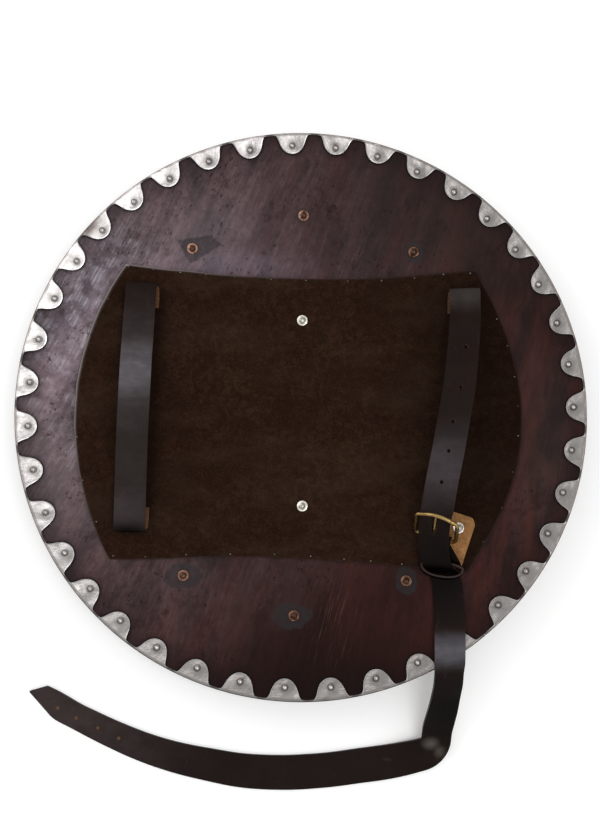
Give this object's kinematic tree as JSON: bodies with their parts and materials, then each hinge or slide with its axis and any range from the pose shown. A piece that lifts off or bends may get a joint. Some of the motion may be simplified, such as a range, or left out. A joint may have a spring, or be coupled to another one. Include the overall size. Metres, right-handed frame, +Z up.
{
  "type": "round shield",
  "caption": "Round dished wooden shield lying hollow side up: scalloped steel rim, leather pad, arm strap, and a long buckled strap trailing over the rim.",
  "frame": {"origin": "centre of the small flat spot in the middle of the domed front, which is what the shield lies on", "axes": "+Z straight up out of the hollow back; +X towards the side of the long strap and its buckle; +Y away from the long strap's free end"},
  "size_m": [0.61, 0.7124, 0.0697],
  "materials": {
    "wood": "dark purple-brown stain, thin satin varnish, scratched",
    "rim_steel": "hammered and brushed, satin",
    "pad_suede": "dark brown suede, mottled",
    "strap_leather": "dark brown strap leather, satin",
    "raw_leather": "undyed flesh side, matte",
    "old_brass": "tarnished, worn bright on top",
    "old_copper": "tarnished copper",
    "bright_nickel": "bright nickel plate, hammered end"
  },
  "bodies": {
    "root": {"board": "wood", "rim": "rim_steel", "rim_rivet_01": "rim_steel", "rim_rivet_02": "rim_steel", "rim_rivet_03": "rim_steel", "rim_rivet_04": "rim_steel", "rim_rivet_05": "rim_steel", "rim_rivet_06": "rim_steel", "rim_rivet_07": "rim_steel", "rim_rivet_08": "rim_steel", "rim_rivet_09": "rim_steel", "rim_rivet_10": "rim_steel", "rim_rivet_11": "rim_steel", "rim_rivet_12": "rim_steel", "rim_rivet_13": "rim_steel", "rim_rivet_14": "rim_steel", "rim_rivet_15": "rim_steel", "rim_rivet_16": "rim_steel", "rim_rivet_17": "rim_steel", "rim_rivet_18": "rim_steel", "rim_rivet_19": "rim_steel", "rim_rivet_20": "rim_steel", "rim_rivet_21": "rim_steel", "rim_rivet_22": "rim_steel", "rim_rivet_23": "rim_steel", "rim_rivet_24": "rim_steel", "rim_rivet_25": "rim_steel", "rim_rivet_26": "rim_steel", "rim_rivet_27": "rim_steel", "rim_rivet_28": "rim_steel", "rim_rivet_29": "rim_steel", "rim_rivet_30": "rim_steel", "rim_rivet_31": "rim_steel", "rim_rivet_32": "rim_steel", "rim_rivet_33": "rim_steel", "rim_rivet_34": "rim_steel", "rim_rivet_35": "rim_steel", "rim_rivet_36": "rim_steel", "rim_rivet_37": "rim_steel", "rim_rivet_38": "rim_steel", "rim_rivet_39": "rim_steel", "pad": "pad_suede", "ring_rivet_1": "old_copper", "ring_rivet_2": "old_copper", "ring_rivet_3": "old_copper", "ring_rivet_4": "old_copper", "ring_rivet_5": "old_copper", "ring_rivet_6": "old_copper", "centre_rivet_1": "bright_nickel", "centre_rivet_2": "bright_nickel", "arm_strap": "strap_leather", "long_strap": "strap_leather", "strap_rivet_1": "old_copper", "strap_rivet_2": "old_copper", "strap_rivet_3": "old_copper", "buckle_tab": "raw_leather", "tab_rivet": "bright_nickel", "buckle_frame": "old_brass", "buckle_prong": "old_brass", "keeper": "strap_leather"}
  },
  "joints": []
}
